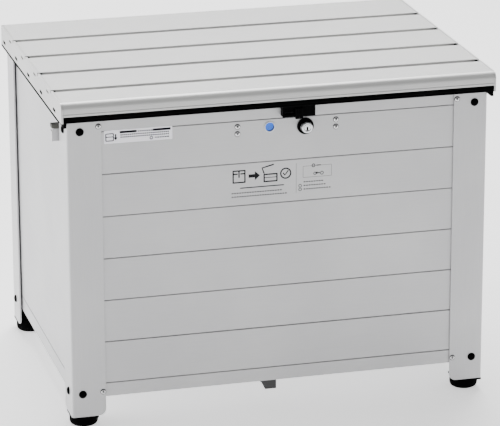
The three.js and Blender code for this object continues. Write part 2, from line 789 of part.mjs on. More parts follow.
// The housing is a black block on the top rail with a pocket for the thumb piece.
function latchHousing() {
  const r = housingCornerRadius;
  const outline = new THREE.Shape();
  outline.moveTo(housingLeft, housingTop);
  outline.lineTo(housingLeft, housingBottom + r);
  outline.absarc(housingLeft + r, housingBottom + r, r, Math.PI, 1.5 * Math.PI);
  outline.lineTo(housingRight, housingBottom);
  outline.lineTo(housingRight, housingTop);
  const pocket = block(thumbLeft - slideTravel - stemClearance, thumbRight + stemClearance,
    housingFront - past, pocketBack, pocketBottom, pocketTop);
  const slot = block(thumbX - stemWidth / 2 - slideTravel - stemClearance,
    thumbX + stemWidth / 2 + stemClearance, pocketBack - past, housingBack + past,
    stemBottom - stemClearance, stemTop + stemClearance);
  return cut(extrudeY(outline, housingFront, housingBack), pocket, slot);
}

add('latch_housing', latchHousing(), black);

// ---------------------------------------------------------------- lock case and brackets

// A folded cover behind the lock, open at the top for the striker.
function lockCase() {
  const wall = caseSheet;
  const tabBottom = (caseBottom + caseTop - caseTabHeight) / 2;
  const tab = (x0, x1) => block(x0, x1, caseFront, caseFront + wall,
    tabBottom, tabBottom + caseTabHeight);
  return join(
    block(caseLeft, caseRight, caseFront, caseBack, caseBottom, caseBottom + wall),
    block(caseLeft, caseRight, caseBack - wall, caseBack, caseBottom, caseTop),
    block(caseLeft, caseLeft + wall, caseFront, caseBack, caseBottom, caseTop),
    block(caseRight - wall, caseRight, caseFront, caseBack, caseBottom, caseTop),
    tab(caseLeft - caseTab, caseLeft + wall / 2),
    tab(caseRight - wall / 2, caseRight + caseTab),
  );
}

add('lock_case', lockCase(), steel);

// A dark bracket under the middle of the front rail.
function frontBracket() {
  const top = frontRailBottom - gap;
  const front = boardFront + bracketSetback;
  const left = bracketX - bracketWidth / 2;
  const right = bracketX + bracketWidth / 2;
  const plate = extrudeY(polygon([
    [left, top], [left + bracketSlant, top - bracketDrop],
    [right, top - bracketDrop], [right, top],
  ]), front, front + bracketThickness);
  const flange = block(left, right, front, front + bracketFlange, top - bracketThickness, top);
  return join(plate, flange);
}

add('front_bracket', frontBracket(), darkSteel);

// A bent strap on each side wall, open at the rear and reaching out to the lid's edge,
// and the dark pad that lies on it.
const tabFront = -halfDepth + postFlange + tabBehindPost;
const tabWall = -sideFace - gap;
const tabOuter = gap - lidHalfWidth;
const tabTop = bodyTop - tabDrop;

function sideTab() {
  const bottom = tabTop - tabHeight;
  const outline = new THREE.Shape();
  outline.moveTo(tabWall, bottom);
  outline.lineTo(tabWall, tabTop);
  outline.lineTo(tabOuter + tabCornerRadius, tabTop);
  outline.absarc(tabOuter + tabCornerRadius, tabTop - tabCornerRadius, tabCornerRadius,
    Math.PI / 2, Math.PI);
  outline.lineTo(tabOuter, bottom);
  const face = extrudeY(outline, tabFront, tabFront + tabThickness);
  const leg = (x, top) => block(x, x + tabThickness, tabFront, tabFront + tabLength, bottom, top);
  return join(face, leg(tabWall - tabThickness, tabTop),
    leg(tabOuter, tabTop - tabCornerRadius));
}

const tabPiece = sideTab();
const padPiece = block(tabOuter, tabWall, tabFront, tabFront + tabLength,
  tabTop + gap, tabTop + gap + padHeight);
for (const [side, x] of [['left', 1], ['right', -1]]) {
  add(`side_tab_${side}`, mirrored(tabPiece, x, 1), silver);
  add(`side_pad_${side}`, mirrored(padPiece, x, 1), rubber);
}

export default box;
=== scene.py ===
"""Looks of the parcel drop box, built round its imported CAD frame.

Metres, +Z up, +X to the right seen from the front, +Y to the rear. Every place is worked
out from the boxes of the CAD nodes. New pieces are surfaces computed as whole arrays, and
parts whose shape is already right are copies of the CAD part with every edge eased.
"""

import json
import math

import bmesh
import bpy
import numpy as np
from mathutils import Euler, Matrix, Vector
from mathutils.geometry import tessellate_polygon

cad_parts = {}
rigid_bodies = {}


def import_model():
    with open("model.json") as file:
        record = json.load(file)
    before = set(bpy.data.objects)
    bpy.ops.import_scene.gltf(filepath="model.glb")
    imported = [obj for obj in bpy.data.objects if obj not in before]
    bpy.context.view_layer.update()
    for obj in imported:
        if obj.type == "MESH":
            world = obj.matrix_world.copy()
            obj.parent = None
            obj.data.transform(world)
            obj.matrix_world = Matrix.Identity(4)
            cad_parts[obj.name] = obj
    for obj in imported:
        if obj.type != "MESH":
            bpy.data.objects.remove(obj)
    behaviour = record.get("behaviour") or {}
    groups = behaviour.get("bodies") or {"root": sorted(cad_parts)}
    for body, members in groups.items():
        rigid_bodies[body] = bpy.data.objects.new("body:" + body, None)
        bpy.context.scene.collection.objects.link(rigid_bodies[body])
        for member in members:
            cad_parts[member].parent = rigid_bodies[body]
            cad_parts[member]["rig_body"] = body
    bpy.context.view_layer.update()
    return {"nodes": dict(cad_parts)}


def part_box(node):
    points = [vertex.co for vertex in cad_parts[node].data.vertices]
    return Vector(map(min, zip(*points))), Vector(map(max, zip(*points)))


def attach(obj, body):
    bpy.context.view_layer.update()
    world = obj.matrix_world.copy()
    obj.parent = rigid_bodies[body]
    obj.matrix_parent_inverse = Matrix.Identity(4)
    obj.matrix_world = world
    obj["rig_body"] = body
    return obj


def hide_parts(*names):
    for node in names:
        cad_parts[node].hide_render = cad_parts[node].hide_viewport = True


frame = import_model()

# ------------------------------------------------------------------ sizes in metres

EDGE = 0.0004                  # easing of sheet metal edges
SKIN = 0.00006                 # thickness of printing
CAP_RADIUS = 0.0056            # black caps over the frame bolts
CAP_HEIGHT = 0.0030
SCREW_RADIUS = 0.0031
SCREW_HEIGHT = 0.0016
SHADOW_RING_THICK = 0.0003
RIVET_RADIUS = 0.0027
RIVET_HEIGHT = 0.0011
RIVET_PITCH = 0.021
RIVET_RISE = 0.0105            # above the lower end of a hinge leaf
LEAF_THICK = 0.0015
REED_PITCH = 0.0029            # fine ribs along the lid's planks
REED_DEPTH = 0.00012
REED_MARGINS = 0.003, 0.002    # from a plank's rear and front corners
PLANK_WALL = 0.0015
PLANK_GROOVE = 0.0105          # behind each plank but the last
PLANK_GROOVE_DEPTH = 0.009
PLANK_EDGE_RADIUS = 0.0004
PLANK_LIP = 0.0006             # front edge over the shadow groove
PLANK_UNDERCUT = 0.005
PLANK_REAR_RADIUS = 0.0015
PLANK_HOLLOW_RADIUS = 0.0009
NOSE_RADIUS = 0.0095
NOSE_LIP = 0.0008
NOSE_LIP_HEIGHT = 0.0026
FIT = 0.0003                   # between pieces that touch


# ------------------------------------------------------------------ camera, light and floor

def aim(thing, place, target):
    """Puts a light or camera at a place, looking at a target with its top upward."""
    thing.location = place
    thing.rotation_mode = "QUATERNION"
    thing.rotation_quaternion = (Vector(target) - Vector(place)).to_track_quat("-Z", "Y")


def make_camera():
    """A long lens in front of the box, a little to the left and looking down on the lid."""
    data = bpy.data.cameras.new("camera")
    data.sensor_width = 36
    data.lens = 218.35
    data.clip_end = 60
    camera = bpy.data.objects.new("camera", data)
    bpy.context.scene.collection.objects.link(camera)
    camera.location = (-1.05104, -4.02807, 1.57015)
    turn_right, look_down, roll = 0.2583, 0.3134, -0.0029
    heading = Euler((math.pi / 2 - look_down, 0, -turn_right), "XYZ").to_quaternion()
    camera.rotation_mode = "QUATERNION"
    camera.rotation_quaternion = heading @ Euler((0, 0, roll), "XYZ").to_quaternion()
    bpy.context.scene.camera = camera


def soft_light(name, place, size, power):
    """A large square light aimed at the middle of the box."""
    data = bpy.data.lights.new(name, "AREA")
    data.shape = "SQUARE"
    data.size = size
    data.energy = power
    light = bpy.data.objects.new(name, data)
    bpy.context.scene.collection.objects.link(light)
    aim(light, place, (0, 0, 0.25))


def make_world(strength):
    world = bpy.data.worlds.new("studio")
    bpy.context.scene.world = world
    world.use_nodes = True
    background = world.node_tree.nodes["Background"]
    background.inputs["Color"].default_value = (1, 1, 1, 1)
    background.inputs["Strength"].default_value = strength


# ------------------------------------------------------------------ shader arithmetic

class Wire:
    """A shader socket in ordinary arithmetic; every operation adds one Math node."""

    def __init__(self, shader, socket):
        self.shader = shader
        self.socket = socket

    def _math(self, operation, first, second):
        return self.shader.node("Math", {"operation": operation}, {0: first, 1: second})

    def __add__(self, other):
        return self._math("ADD", self, other)

    def __sub__(self, other):
        return self._math("SUBTRACT", self, other)

    def __rsub__(self, other):
        return self._math("SUBTRACT", other, self)

    def __mul__(self, other):
        return self._math("MULTIPLY", self, other)

    def __gt__(self, other):
        return self._math("GREATER_THAN", self, other)

    __radd__ = __add__
    __rmul__ = __mul__


class Shader:
    """A material and the one method that adds nodes to it."""

    def __init__(self, name):
        self.material = bpy.data.materials.new(name)
        self.material.use_nodes = True
        self.tree = self.material.node_tree
        self.tree.nodes.clear()

    def node(self, kind, settings, inputs, output=0):
        """Adds a node: its settings first, then the values or wires of its sockets."""
        made = self.tree.nodes.new("ShaderNode" + kind)
        for key, value in settings.items():
            setattr(made, key, value)
        for key, value in inputs.items():
            if isinstance(value, Wire):
                self.tree.links.new(value.socket, made.inputs[key])
            else:
                made.inputs[key].default_value = value
        return Wire(self, made.outputs[output])

    def position(self, stretch=(1, 1, 1)):
        """Object coordinates, stretched along each axis."""
        place = self.node("TexCoord", {}, {}, "Object")
        return self.node("Mapping", {}, {"Vector": place, "Scale": stretch})

    def noise(self, scale, detail=2.0, roughness=0.5, stretch=(1, 1, 1)):
        return self.node("TexNoise", {}, {
            "Vector": self.position(stretch), "Scale": scale, "Detail": detail,
            "Roughness": roughness}, "Fac")

    def between(self, value, low, high):
        """0 below low, 1 above high and a smooth ramp in between."""
        return self.node("MapRange", {"interpolation_type": "SMOOTHSTEP"},
                         {"Value": value, "From Min": low, "From Max": high})

    def blend(self, share, first, second):
        """A mix of two colours."""
        sockets = {0: share, 6: first, 7: second}
        return self.node("Mix", {"data_type": "RGBA"}, sockets, 2)

    def edge_mask(self, radius):
        """1 on convex and concave edges and 0 on flats, broken up by a fine noise."""
        eased = self.node("Bevel", {"samples": 4}, {"Radius": radius})
        flat = self.node("NewGeometry", {}, {}, "Normal")
        same = self.node("VectorMath", {"operation": "DOT_PRODUCT"}, {0: eased, 1: flat}, "Value")
        edge = self.between(1 - same, 0.004, 0.12)
        return edge * self.between(self.noise(420, 3), 0.32, 0.62)

    def bump(self, height, distance, strength=1.0):
        return self.node("Bump", {}, {
            "Height": height, "Distance": distance, "Strength": strength}, "Normal")

    def finish(self, **sockets):
        """Ends the material with a Principled BSDF."""
        names = {key.replace("_", " "): value for key, value in sockets.items()}
        surface = self.node("BsdfPrincipled", {}, names)
        self.node_output(surface)
        return self.material

    def node_output(self, surface):
        output = self.tree.nodes.new("ShaderNodeOutputMaterial")
        self.tree.links.new(surface.socket, output.inputs["Surface"])


def colour(red, green, blue):
    return (red, green, blue, 1.0)


# ------------------------------------------------------------------ finishes

ACROSS = {"x": (1.5, 90, 90), "y": (90, 1.5, 90), "z": (90, 90, 1.5)}


def aluminium(name, tone, along, shine=0.43):
    """Satin anodised extrusion: fine die lines along its length, faint clouding, and edges lightened
    partly by wear and partly as a painted highlight.
    """
    s = Shader(name)
    lines = s.noise(14, 4, 0.6, ACROSS[along])
    clouds = s.noise(7, 3)
    sparkle = s.noise(2600, 1)
    rubbed = s.edge_mask(0.0011)
    tint = [tone[0] * 0.93, tone[1] * 0.93, tone[2] * 0.94]
    body = s.blend(s.between(clouds, 0.3, 0.7), colour(*tone), colour(*tint))
    lined = s.blend(s.between(lines, 0.35, 0.75) * 0.10, body, colour(0.30, 0.30, 0.31))
    # edges lightened along the edge mask: partly rubbed wear, partly a painted highlight
    worn_and_highlit = s.blend(rubbed * 0.45, lined, colour(0.86, 0.86, 0.86))
    relief = lines * 0.6 + sparkle * 0.25
    return s.finish(
        Base_Color=worn_and_highlit, Metallic=0.42,
        Roughness=shine + (lines - 0.5) * 0.10 + (clouds - 0.5) * 0.10 - rubbed * 0.08,
        Normal=s.bump(relief, 0.00006, 0.35))


def moulded(name, tone, grain, rough, sheen=0.015):
    """Moulded plastic or rubber: spark-eroded grain, dusty clouds and paler rubbed edges."""
    s = Shader(name)
    pebble = s.noise(grain, 3, 0.6)
    dust = s.between(s.noise(22, 4), 0.45, 0.8)
    rubbed = s.edge_mask(0.0009)
    dusty = s.blend(dust * 0.12, colour(*tone), colour(0.02, 0.02, 0.021))
    worn = s.blend(rubbed * 0.20, dusty, colour(0.04, 0.04, 0.042))
    return s.finish(
        Base_Color=worn, Roughness=rough + (pebble - 0.5) * 0.12 + dust * 0.12,
        Specular_IOR_Level=sheen, Normal=s.bump(pebble, 0.00008, 0.5))


def bare_metal(name, tone, along, rough, scratches=0.3):
    """Rolled, turned or plated metal: hairlines one way, stray scratches, and edges lightened partly
    by wear and partly as a painted highlight.
    """
    s = Shader(name)
    hairs = s.noise(30, 3, 0.6, ACROSS[along])
    stray = s.between(s.noise(60, 4, 0.7, (9, 1.5, 9)), 0.62, 0.66)
    rubbed = s.edge_mask(0.0006)
    clouds = s.noise(30, 3)
    body = s.blend(clouds * 0.5, colour(*tone), colour(*[part * 0.85 for part in tone]))
    # edges lightened along the edge mask: partly rubbed wear, partly a painted highlight
    worn_and_highlit = s.blend(rubbed * 0.5, body, colour(0.85, 0.85, 0.86))
    return s.finish(
        Base_Color=worn_and_highlit, Metallic=1.0,
        Roughness=rough + hairs * 0.10 + stray * scratches * 0.2,
        Normal=s.bump(hairs - stray * scratches, 0.00003, 0.4))


def painted(name, tone, rough):
    """Black paint on steel, with orange peel and bare metal where edges are rubbed."""
    s = Shader(name)
    peel = s.noise(700, 2)
    rubbed = s.edge_mask(0.0008)
    worn = s.blend(rubbed * 0.6, colour(*tone), colour(0.35, 0.34, 0.33))
    return s.finish(Base_Color=worn, Metallic=rubbed * 0.8,
                    Roughness=rough + (peel - 0.5) * 0.15, Normal=s.bump(peel, 0.00008, 0.5))


def clear_plastic(name):
    """Clear moulded plastic: mostly see-through, with faint hazing and a glossy front."""
    s = Shader(name)
    haze = s.between(s.noise(160, 4), 0.4, 0.8)
    return s.finish(Base_Color=s.blend(haze * 0.4, colour(0.72, 0.84, 0.97), colour(0.9, 0.95, 1)),
                    Roughness=0.05 + haze * 0.08, Alpha=0.06 + haze * 0.04,
                    Specular_IOR_Level=0.5)


def signal_flag(name, border, arm):
    """Plastic flag: blue left of the border, red right of it, black above the arm; it also glows in
    its own colour, painted light that keeps it bright inside the window.
    """
    s = Shader(name)
    place = s.node("TexCoord", {}, {}, "Object")
    across = s.node("SeparateXYZ", {}, {"Vector": place}, "X")
    up = s.node("SeparateXYZ", {}, {"Vector": place}, "Z")
    speck = s.noise(900, 3)
    cool = s.blend(speck, colour(0.0, 0.11, 0.62), colour(0.0, 0.13, 0.70))
    warm = s.blend(speck, colour(0.70, 0.02, 0.01), colour(0.80, 0.03, 0.02))
    halves = s.blend(across > border, cool, warm)
    paint = s.blend(up > arm, halves, colour(0.001, 0.001, 0.001))
    # the emission is painted light that brightens the flag behind the lens
    return s.finish(Base_Color=paint, Roughness=0.38 + speck * 0.1, Emission_Color=paint,
                    Emission_Strength=1.3, Normal=s.bump(speck, 0.00004, 0.4))


def vinyl(name, tone, rough, painted_glow=0.0):
    """Film or smooth plastic: nearly flat, with pinholes, fading, soft gloss and an optional glow,
    painted light that brightens it.
    """
    s = Shader(name)
    fade = s.noise(45, 4)
    pores = s.between(s.noise(1500, 2), 0.66, 0.72)
    faded = s.blend(fade * 0.15, colour(*tone), colour(*[0.85 * part for part in tone]))
    spotted = s.blend(pores * 0.15, faded, colour(0.5, 0.5, 0.5))
    return s.finish(Base_Color=spotted, Roughness=rough + (fade - 0.5) * 0.15,
                    Emission_Color=spotted, Emission_Strength=painted_glow,
                    Normal=s.bump(fade, 0.00003, 0.3))


def ink(name, tone):
    """Printing ink: matt and dark, thinner in fine pinholes."""
    s = Shader(name)
    fade = s.noise(300, 3)
    pores = s.between(s.noise(1800, 2), 0.66, 0.72)
    worn = s.blend(pores * 0.25, colour(*tone), colour(0.12, 0.12, 0.12))
    return s.finish(Base_Color=worn, Roughness=0.55 + (fade - 0.5) * 0.15,
                    Specular_IOR_Level=0.1, Normal=s.bump(fade, 0.00003, 0.3))


def studio_floor():
    s = Shader("studio_floor")
    mottle = s.noise(3, 4)
    paint = s.blend(mottle, colour(0.90, 0.90, 0.90), colour(0.88, 0.88, 0.885))
    return s.finish(Base_Color=paint, Roughness=0.75, Emission_Color=colour(1, 1, 1),
                    Emission_Strength=FLOOR_GLOW)


# ------------------------------------------------------------------ surfaces

def quads(rows, columns):
    """The faces of a grid of points that closes on itself both ways."""
    row, column = np.meshgrid(np.arange(rows), np.arange(columns), indexing="ij")
    next_row, next_column = (row + 1) % rows, (column + 1) % columns
    corners = [row * columns + column, row * columns + next_column,
               next_row * columns + next_column, next_row * columns + column]
    return np.stack(corners, -1).reshape(-1, 4)


def axes_about(axis):
    """Unit vectors across, up and along an axis."""
    along = Vector(axis).normalized()
    across = along.orthogonal().normalized()
    return np.array(across), np.array(along.cross(across)), np.array(along)


def turned(profile, centre, axis, segments=48):
    """A turned solid: each profile point (radius, height) sweeps a circle round the axis.

    The profile starts and ends on the axis, or closes on itself, and the ring that joins
    its last point to its first has no area in the first case."""
    radius, height = np.array(profile, float).T
    across, up, along = axes_about(axis)
    angle = np.arange(segments) * (2 * math.pi / segments)
    circle = np.cos(angle)[:, None] * across + np.sin(angle)[:, None] * up
    points = (np.array(centre) + height[:, None, None] * along
              + radius[:, None, None] * circle[None])
    return points.reshape(-1, 3), quads(len(radius), segments).tolist()


AXES = {"x": (1, 2, 0), "y": (0, 2, 1), "z": (0, 1, 2)}


def extruded(loops, start, end, axis):
    """A straight solid: an outline, less any holes, carried from start to end on an axis.

    The outline's two numbers are the other two axes in the order x, y, z."""
    first, second, along = AXES[axis]
    flat = np.concatenate([np.array(loop, float) for loop in loops])
    points = np.zeros((2 * len(flat), 3))
    points[:, first] = np.tile(flat[:, 0], 2)
    points[:, second] = np.tile(flat[:, 1], 2)
    points[:, along] = np.repeat([start, end], len(flat))
    lid = tessellate_polygon([[Vector((a, b, 0)) for a, b in loop] for loop in loops])
    far = [[i + len(flat) for i in triangle] for triangle in lid]
    sides, base = [], 0
    for loop in loops:
        near = np.arange(len(loop))
        following = (near + 1) % len(loop)
        ring = np.stack([near, following, following + len(flat), near + len(flat)], 1) + base
        sides += ring.tolist()
        base += len(loop)
    return points, [list(triangle) for triangle in lid] + far + sides


def together(shapes):
    """Several solids as one set of points and faces."""
    points, faces, base = [], [], 0
    for shape_points, shape_faces in shapes:
        points.append(shape_points)
        faces += [[i + base for i in face] for face in shape_faces]
        base += len(shape_points)
    return np.concatenate(points), faces


def arc(centre, radius, start, end, steps):
    """Points on a circular arc, angles in degrees, both ends included."""
    angle = np.radians(np.linspace(start, end, steps + 1))
    return np.stack([centre[0] + radius * np.cos(angle), centre[1] + radius * np.sin(angle)], 1)


def rounded_box(x0, x1, y0, y1, radius, steps=5):
    """The outline of a rectangle with rounded corners."""
    corners = [(x1 - radius, y0 + radius, -90), (x1 - radius, y1 - radius, 0),
               (x0 + radius, y1 - radius, 90), (x0 + radius, y0 + radius, 180)]
    return np.concatenate([arc((x, y), radius, a, a + 90, steps) for x, y, a in corners])


def soften(thing, width, segments=2, angle=32):
    """Bevels every edge sharper than the angle and keeps flats flat."""
    bevel = thing.modifiers.new("eased", "BEVEL")
    bevel.width = width
    bevel.segments = segments
    bevel.limit_method = "ANGLE"
    bevel.angle_limit = math.radians(angle)
    bevel.harden_normals = True


def smooth(mesh, angle=32):
    mesh.polygons.foreach_set("use_smooth", [True] * len(mesh.polygons))
    mesh.set_sharp_from_angle(angle=math.radians(angle))


def piece(name, shape, finish, body, ease=0.0, stands_for=()):
    """Makes an object of a shape, closes its poles and seams, and rides it on its body."""
    points, faces = shape
    mesh = bpy.data.meshes.new(name)
    mesh.from_pydata(points.tolist(), [], faces)
    work = bmesh.new()
    work.from_mesh(mesh)
    bmesh.ops.remove_doubles(work, verts=work.verts, dist=1e-7)
    bmesh.ops.recalc_face_normals(work, faces=work.faces)
    work.to_mesh(mesh)
    work.free()
    return placed(name, mesh, finish, body, ease, stands_for)


def placed(name, mesh, finish, body, ease, stands_for):
    mesh.materials.clear()
    mesh.materials.append(finish)
    smooth(mesh)
    thing = bpy.data.objects.new(name, mesh)
    bpy.context.scene.collection.objects.link(thing)
    if ease:
        soften(thing, ease)
    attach(thing, body)
    if stands_for:
        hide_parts(*stands_for)
    return thing


def eased(node, finish, ease=EDGE):
    """The CAD part itself with its triangles joined into flats and its edges eased."""
    mesh = frame["nodes"][node].data.copy()
    work = bmesh.new()
    work.from_mesh(mesh)
    bmesh.ops.remove_doubles(work, verts=work.verts, dist=1e-6)
    bmesh.ops.dissolve_limit(work, angle_limit=math.radians(0.4), verts=work.verts,
                             edges=work.edges)
    work.to_mesh(mesh)
    work.free()
    body = frame["nodes"][node]["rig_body"]
    return placed(node + "_eased", mesh, finish, body, ease, (node,))


# ------------------------------------------------------------------ places in the frame

def low(node):
    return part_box(node)[0]


def high(node):
    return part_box(node)[1]


LEFT = low("corner_post_front_left").x
FRONT = low("corner_post_front_left").y
REAR = high("corner_post_rear_left").y
POST_TOP = high("corner_post_front_left").z
POST_BOTTOM = low("corner_post_front_left").z
WALL = low("front_board_6").y
HALF_WIDTH = -LEFT
SIDES = (("left", -1), ("right", 1))
LOCK_X = (low("lock_plunger").x + high("lock_plunger").x) / 2
LOCK_Z = (low("lock_plunger").z + high("lock_plunger").z) / 2
WINDOW_X = (low("indicator_window").x + high("indicator_window").x) / 2
WINDOW_Z = (low("indicator_window").z + high("indicator_window").z) / 2

# ------------------------------------------------------------------ the studio

FLOOR_GLOW = 0.9
make_camera()
make_world(0.3)
soft_light("key_light", (-4.2, 0.4, 1.6), 2.2, 180)
soft_light("top_light", (0.4, 1.8, 3.4), 2.6, 270)

floor_mesh = bpy.data.meshes.new("floor")
floor_mesh.from_pydata([(-9, -9, 0), (9, -9, 0), (9, 9, 0), (-9, 9, 0)], [], [(0, 1, 2, 3)])
floor_mesh.materials.append(studio_floor())
floor = bpy.data.objects.new("floor", floor_mesh)
bpy.context.scene.collection.objects.link(floor)

# ------------------------------------------------------------------ the finishes in use

WALL_TONE = (0.60, 0.60, 0.605)
LID_TONE = (0.64, 0.64, 0.63)
board_finish = aluminium("board_aluminium", WALL_TONE, "x")
side_finish = aluminium("side_aluminium", WALL_TONE, "y")
post_finish = aluminium("post_aluminium", WALL_TONE, "z")
plank_finish = aluminium("plank_aluminium", LID_TONE, "x", 0.46)
cap_finish = aluminium("end_cap_aluminium", LID_TONE, "y", 0.46)
black_finish = moulded("black_plastic", (0.0008, 0.0008, 0.0009), 1500, 0.42)
# flat black without gloss: painted shadow inside screw recesses, end cap slots and groove ends, and
# on the seal lips
shadow_black_finish = moulded("painted_shadow_black", (0.0005, 0.0005, 0.0006), 1500, 0.9, 0.0)
rubber_finish = moulded("black_rubber", (0.0012, 0.0012, 0.0013), 700, 0.72)
# dark grey with little gloss: painted shade in the end cap dashes and on the pads under the lid's
# sides
shade_grey_finish = moulded("painted_shade_grey", (0.10, 0.10, 0.09), 700, 0.72, 0.1)
steel_finish = bare_metal("rolled_steel", (0.50, 0.50, 0.51), "x", 0.30)
chrome_finish = bare_metal("polished_chrome", (0.78, 0.79, 0.81), "y", 0.07, 0.6)
screw_finish = bare_metal("screw_steel", (0.97, 0.97, 0.98), "z", 0.12, 0.2)
lug_finish = painted("painted_steel", (0.030, 0.030, 0.032), 0.5)
lens_finish = clear_plastic("window_plastic")
ring_finish = vinyl("pale_plastic", (0.78, 0.82, 0.86), 0.3)
# dark blue: painted shade on the inner wall of the window's tube
sleeve_shade_finish = vinyl("painted_sleeve_shade", (0.02, 0.06, 0.22), 0.3)
# the label's glow of 0.22 is painted light that whitens it
label_finish = vinyl("white_label", (0.95, 0.94, 1.0), 0.45, 0.22)
ink_finish = ink("dark_ink", (0.004, 0.004, 0.008))
grey_ink_finish = ink("grey_ink", (0.012, 0.012, 0.014))

# ------------------------------------------------------------------ sheet metal parts

CORNERS = [("front_left", -1, -1), ("front_right", 1, -1),
           ("rear_left", -1, 1), ("rear_right", 1, 1)]
for corner, _, _ in CORNERS:
    eased(f"corner_post_{corner}", post_finish, 0.0005)
    eased(f"foot_{corner}", rubber_finish, 0.0008)
for level in ("top_rail", "bottom_rail"):
    for wall, finish in (("front", board_finish), ("rear", board_finish),
                         ("left", side_finish), ("right", side_finish)):
        eased(f"{level}_{wall}", finish)
for number in range(1, 7):
    eased(f"front_board_{number}", board_finish)
for node, finish in (("rear_panel", board_finish), ("side_panel_left", side_finish),
                     ("side_panel_right", side_finish), ("floor_panel", board_finish),
                     ("lid_rear_rail", plank_finish), ("side_tab_left", side_finish),
                     ("side_tab_right", side_finish)):
    eased(node, finish)
for side, _ in SIDES:
    eased(f"hinge_lower_leaf_{side}", steel_finish, 0.0003)
    eased(f"hinge_upper_leaf_{side}", steel_finish, 0.0003)
    eased(f"hinge_pin_{side}", screw_finish, 0.0004)
    eased(f"lid_side_seal_{side}", rubber_finish, 0.0004)
    # the side pads are dark grey as painted shade under the lid's overhang
    eased(f"side_pad_{side}", shade_grey_finish, 0.0006)
eased("lock_case", steel_finish, 0.0003)
eased("lid_striker", steel_finish, 0.0004)
eased("front_bracket", lug_finish, 0.0004)
eased("latch_housing", black_finish, 0.0006)
eased("lock_nut", steel_finish, 0.0003)


# ------------------------------------------------------------------ fasteners

def dome(radius, height, roundness=2.4, steps=8):
    """A button head: height falls from the middle to the rim as a rounded power curve."""
    share = np.linspace(0, 1, steps + 1)
    crown = height * (1 - share ** roundness) ** (1 / roundness)
    crown = np.maximum(crown, 0.18 * height)
    profile = np.stack([share * radius, crown], 1)[::-1]
    return np.concatenate([[(0, 0), (radius, 0)], profile])


def crossed(radius, height, centre, axis, turn=0.35, rings=12, segments=40):
    """A pan head with a cross recess.

    Over a polar grid the height is a shallow dome less the recess, which is deepest in the
    middle and falls away along two crossed arms with soft sides."""
    share = np.concatenate([np.linspace(0, 1, rings), [1.0, 0.0]])
    angle = np.arange(segments) * (2 * math.pi / segments)
    distance = share[:, None] * radius * np.ones(segments)
    across = distance * np.cos(angle + turn)
    up = distance * np.sin(angle + turn)
    arm = 0.15 * radius
    reach = 0.62 * radius
    near_arm = np.minimum(np.abs(across), np.abs(up)) < arm
    inside = np.maximum(np.abs(across), np.abs(up)) < reach
    crown = height * np.sqrt(np.clip(1 - 0.75 * share[:, None] ** 2, 0, 1)) * np.ones(segments)
    depth = np.where(near_arm & inside, 0.75 * height * (1 - distance / (1.3 * radius)), 0)
    tall = crown - depth
    tall[rings:] = 0
    side, other, along = axes_about(axis)
    points = (np.array(centre) + tall[..., None] * along
              + (distance * np.cos(angle))[..., None] * side
              + (distance * np.sin(angle))[..., None] * other)
    return points.reshape(-1, 3), quads(len(share), segments).tolist()


def recess(radius, height, centre, axis, turn=0.35, segments=48):
    """Painted shadow in a pan head's cross recess: a dark disc whose rim swells out along two crossed
    arms.

    The rim's distance grows with the sixth power of the cosine of twice the angle."""
    side, other, along = axes_about(axis)
    angle = np.arange(segments) * (2 * math.pi / segments)
    reach = radius * (0.40 + 0.34 * np.abs(np.cos(2 * angle)) ** 6)
    rim = ((np.cos(angle + turn) * reach)[:, None] * side
           + (np.sin(angle + turn) * reach)[:, None] * other)
    floor, lip = [np.array(centre) + share * height * along for share in (0.2, 0.93)]
    poles = [np.tile(middle, (segments, 1)) for middle in (floor, lip)]
    points = np.stack([poles[0], floor + rim, lip + rim, poles[1]])
    return points.reshape(-1, 3), quads(4, segments).tolist()


def shadow_ring(radius, centre, axis):
    """A thin dark ring under a screw head: painted shadow round its rim."""
    inner, outer = 0.8 * radius, 1.28 * radius
    profile = [(inner, 0), (outer, 0), (outer, SHADOW_RING_THICK), (inner, SHADOW_RING_THICK)]
    return turned(profile, centre, axis, 36)


CAP_DROP = 0.0157              # below the post's top
CAP_RISE = 0.0335              # above its lower end
TOP_INSET = 0.0185             # from the corner of the box
BOTTOM_INSET = 0.0155
SIDE_INSET = 0.020
SCREW_INSET = 0.0440
SCREW_DROP = 0.0094
SCREW_RISE = 0.0350

caps, post_screws, cross_shadows, shadow_rings = [], [], [], []
for _, right, back in CORNERS:
    face_x = right * HALF_WIDTH
    face_y = REAR if back > 0 else FRONT
    for height, inset in ((POST_TOP - CAP_DROP, TOP_INSET),
                          (POST_BOTTOM + CAP_RISE, BOTTOM_INSET)):
        end_place = (face_x - right * inset, face_y, height)
        side_place = (face_x, face_y - back * SIDE_INSET, height)
        caps.append(turned(dome(CAP_RADIUS, CAP_HEIGHT), end_place, (0, back, 0), 32))
        if back < 0 or height < WINDOW_Z:
            caps.append(turned(dome(CAP_RADIUS, CAP_HEIGHT), side_place, (right, 0, 0), 32))
    for height in (POST_TOP - SCREW_DROP, POST_BOTTOM + SCREW_RISE):
        place = (face_x - right * SCREW_INSET, face_y, height)
        post_screws.append(crossed(SCREW_RADIUS, SCREW_HEIGHT, place, (0, back, 0)))
        cross_shadows.append(recess(SCREW_RADIUS, SCREW_HEIGHT, place, (0, back, 0)))
        shadow_rings.append(shadow_ring(SCREW_RADIUS, place, (0, back, 0)))
piece("bolt_caps", together(caps), black_finish, "box")
piece("post_screws", together(post_screws), screw_finish, "box")

